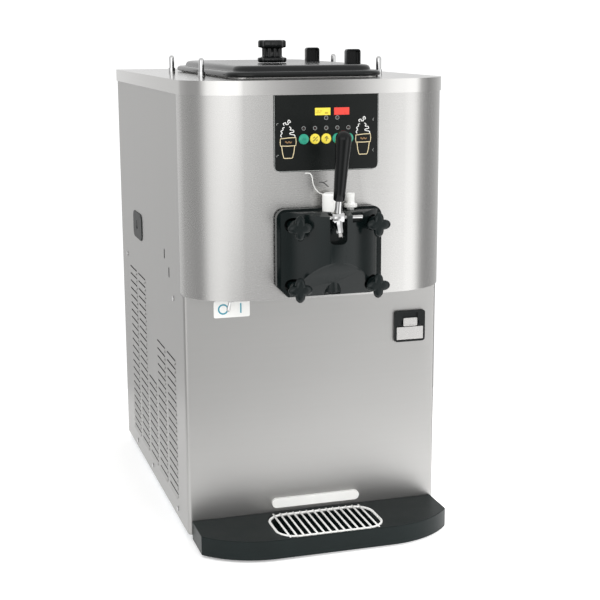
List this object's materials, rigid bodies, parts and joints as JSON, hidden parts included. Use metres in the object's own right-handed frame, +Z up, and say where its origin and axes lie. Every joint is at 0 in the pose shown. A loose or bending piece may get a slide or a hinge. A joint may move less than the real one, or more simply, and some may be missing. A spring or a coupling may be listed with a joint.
{
  "type": "ice cream maker",
  "caption": "Counter-top soft serve freezer: steel cabinet with a bowed front, freezer door with draw handle, key panel, lidded hopper and drip tray.",
  "frame": {"origin": "on the counter, at the middle of the bounding box of the whole machine", "axes": "+X to the right of someone facing the machine, +Y from its front to its back, +Z up"},
  "size_m": [0.4692, 0.8364, 0.8695],
  "materials": {
    "stainless": "brushed, lightly worn",
    "polished_steel": "polished",
    "galvanised": "plain galvanised sheet",
    "black_plastic": "moulded gloss black",
    "black_satin": "moulded satin black",
    "white_plastic": "satin white",
    "white_coating": "coated wire, white",
    "control_film": "printed film",
    "yellow_film": "clear coloured film",
    "red_film": "clear coloured film",
    "green_key": "moulded",
    "yellow_key": "moulded",
    "smoked_lens": "smoked",
    "rubber": "moulded",
    "foam": "poured foam",
    "circuit_board": "lacquered board",
    "black_paint": "gloss enamel",
    "grey_paint": "hammered enamel",
    "aluminium": "bare fins"
  },
  "bodies": {
    "cabinet": {"base_pan": "galvanised", "rubber_feet": "rubber", "inner_frame": "galvanised", "left_side_panel": "stainless", "right_side_panel": "stainless", "rear_panel": "stainless", "lower_front_panel": "stainless", "upper_front_panel": "stainless", "top_cap": "stainless", "locating_pins": "polished_steel", "panel_screws": "polished_steel", "side_cover_plate": "black_satin", "control_panel": "control_film", "yellow_window": "yellow_film", "red_window": "red_film", "indicator_lenses": "smoked_lens", "switch_board": "circuit_board", "off_on_label": "white_plastic", "toggle_bush": "polished_steel", "latch_housing": "black_satin", "hopper": "stainless", "freezing_cylinder": "stainless", "cylinder_insulation": "foam", "door_studs": "polished_steel", "door_gasket": "rubber", "freezer_door": "black_plastic", "nozzle_cap": "black_plastic", "pivot_pin": "polished_steel", "compressor": "black_paint", "condenser": "aluminium", "fan_shroud": "black_paint", "fan_motor": "grey_paint", "gear_motor": "grey_paint", "control_box": "galvanised", "cord_gland": "black_satin"},
    "handle": {"draw_arm": "polished_steel", "draw_grip": "black_plastic", "adjusting_screw": "polished_steel"},
    "draw_valve": {"draw_valve": "white_plastic"},
    "prime_plug": {"prime_plug": "white_plastic"},
    "hand_screw_1": {"hand_screw_1": "black_plastic"},
    "hand_screw_2": {"hand_screw_2": "black_plastic"},
    "hand_screw_3": {"hand_screw_3": "black_plastic"},
    "hand_screw_4": {"hand_screw_4": "black_plastic"},
    "key_1": {"key_1": "green_key"},
    "key_2": {"key_2": "yellow_key"},
    "key_3": {"key_3": "yellow_key"},
    "key_4": {"key_4": "green_key"},
    "key_5": {"key_5": "green_key"},
    "toggle": {"toggle_lever": "polished_steel"},
    "latch_flap": {"latch_flap": "stainless"},
    "lid": {"hopper_lid": "black_plastic", "lid_knob": "black_plastic"},
    "feed_tube": {"mix_feed_tube": "white_plastic"},
    "drip_pan": {"drip_pan": "white_plastic"},
    "drip_tray": {"drip_tray": "black_satin"},
    "grate": {"tray_grate": "white_coating"},
    "beater": {"beater": "stainless", "scraper_blades": "white_plastic"},
    "fan": {"fan_blade": "aluminium"}
  },
  "joints": [
    {"name": "draw_handle", "type": "hinge", "parent": "cabinet", "child": "handle", "pos_m": [0, -0.37683, 0.587], "axis": [1, 0, 0], "range_deg": [0, 24]},
    {"name": "valve_lift", "type": "slide", "parent": "cabinet", "child": "draw_valve", "axis": [0, 0, 1], "range_m": [0, 0.0158]},
    {"name": "prime_plug_lift", "type": "slide", "parent": "cabinet", "child": "prime_plug", "axis": [0, 0, 1], "range_m": [0, 0.02]},
    {"name": "hand_screw_1_turn", "type": "hinge", "parent": "cabinet", "child": "hand_screw_1", "pos_m": [-0.0675, -0.37483, 0.5735], "axis": [0, 1, 0], "continuous": true},
    {"name": "hand_screw_2_turn", "type": "hinge", "parent": "cabinet", "child": "hand_screw_2", "pos_m": [0.0675, -0.37483, 0.5735], "axis": [0, 1, 0], "continuous": true},
    {"name": "hand_screw_3_turn", "type": "hinge", "parent": "cabinet", "child": "hand_screw_3", "pos_m": [-0.0675, -0.37483, 0.4715], "axis": [0, 1, 0], "continuous": true},
    {"name": "hand_screw_4_turn", "type": "hinge", "parent": "cabinet", "child": "hand_screw_4", "pos_m": [0.0675, -0.37483, 0.4715], "axis": [0, 1, 0], "continuous": true},
    {"name": "key_1_press", "type": "slide", "parent": "cabinet", "child": "key_1", "axis": [0, 1, 0], "range_m": [0, 0.001], "stiffness_N_per_m": 400, "springref_m": -0.001},
    {"name": "key_2_press", "type": "slide", "parent": "cabinet", "child": "key_2", "axis": [0, 1, 0], "range_m": [0, 0.001], "stiffness_N_per_m": 400, "springref_m": -0.001},
    {"name": "key_3_press", "type": "slide", "parent": "cabinet", "child": "key_3", "axis": [0, 1, 0], "range_m": [0, 0.001], "stiffness_N_per_m": 400, "springref_m": -0.001},
    {"name": "key_4_press", "type": "slide", "parent": "cabinet", "child": "key_4", "axis": [0, 1, 0], "range_m": [0, 0.001], "stiffness_N_per_m": 400, "springref_m": -0.001},
    {"name": "key_5_press", "type": "slide", "parent": "cabinet", "child": "key_5", "axis": [0, 1, 0], "range_m": [0, 0.001], "stiffness_N_per_m": 400, "springref_m": -0.001},
    {"name": "power_toggle", "type": "hinge", "parent": "cabinet", "child": "toggle", "pos_m": [-0.155, -0.26883, 0.4425], "axis": [0, -1, 0], "range_deg": [0, 26]},
    {"name": "latch_flap_lift", "type": "hinge", "parent": "cabinet", "child": "latch_flap", "pos_m": [0.1805, -0.24743, 0.362], "axis": [-1, 0, 0], "range_deg": [0, 35]},
    {"name": "lid_lift", "type": "slide", "parent": "cabinet", "child": "lid", "axis": [0, 0, 1], "range_m": [0, 0.15]},
    {"name": "feed_tube_lift", "type": "slide", "parent": "cabinet", "child": "feed_tube", "axis": [0, 0, 1], "range_m": [0, 0.045]},
    {"name": "drip_pan_slide", "type": "slide", "parent": "cabinet", "child": "drip_pan", "axis": [0, -1, 0], "range_m": [0, 0.15]},
    {"name": "tray_pull", "type": "slide", "parent": "cabinet", "child": "drip_tray", "axis": [0, -1, 0], "range_m": [0, 0.15]},
    {"name": "grate_lift", "type": "slide", "parent": "drip_tray", "child": "grate", "axis": [0, 0, 1], "range_m": [0, 0.06]},
    {"name": "beater_turn", "type": "hinge", "parent": "cabinet", "child": "beater", "pos_m": [0, -0.14383, 0.524], "axis": [0, 1, 0], "continuous": true},
    {"name": "fan_turn", "type": "hinge", "parent": "cabinet", "child": "fan", "pos_m": [0, 0.29017, 0.162], "axis": [0, 1, 0], "continuous": true}
  ],
  "couplings": [
    {"joint": "valve_lift", "follows": "draw_handle", "m_per_rad": 0.0362}
  ]
}
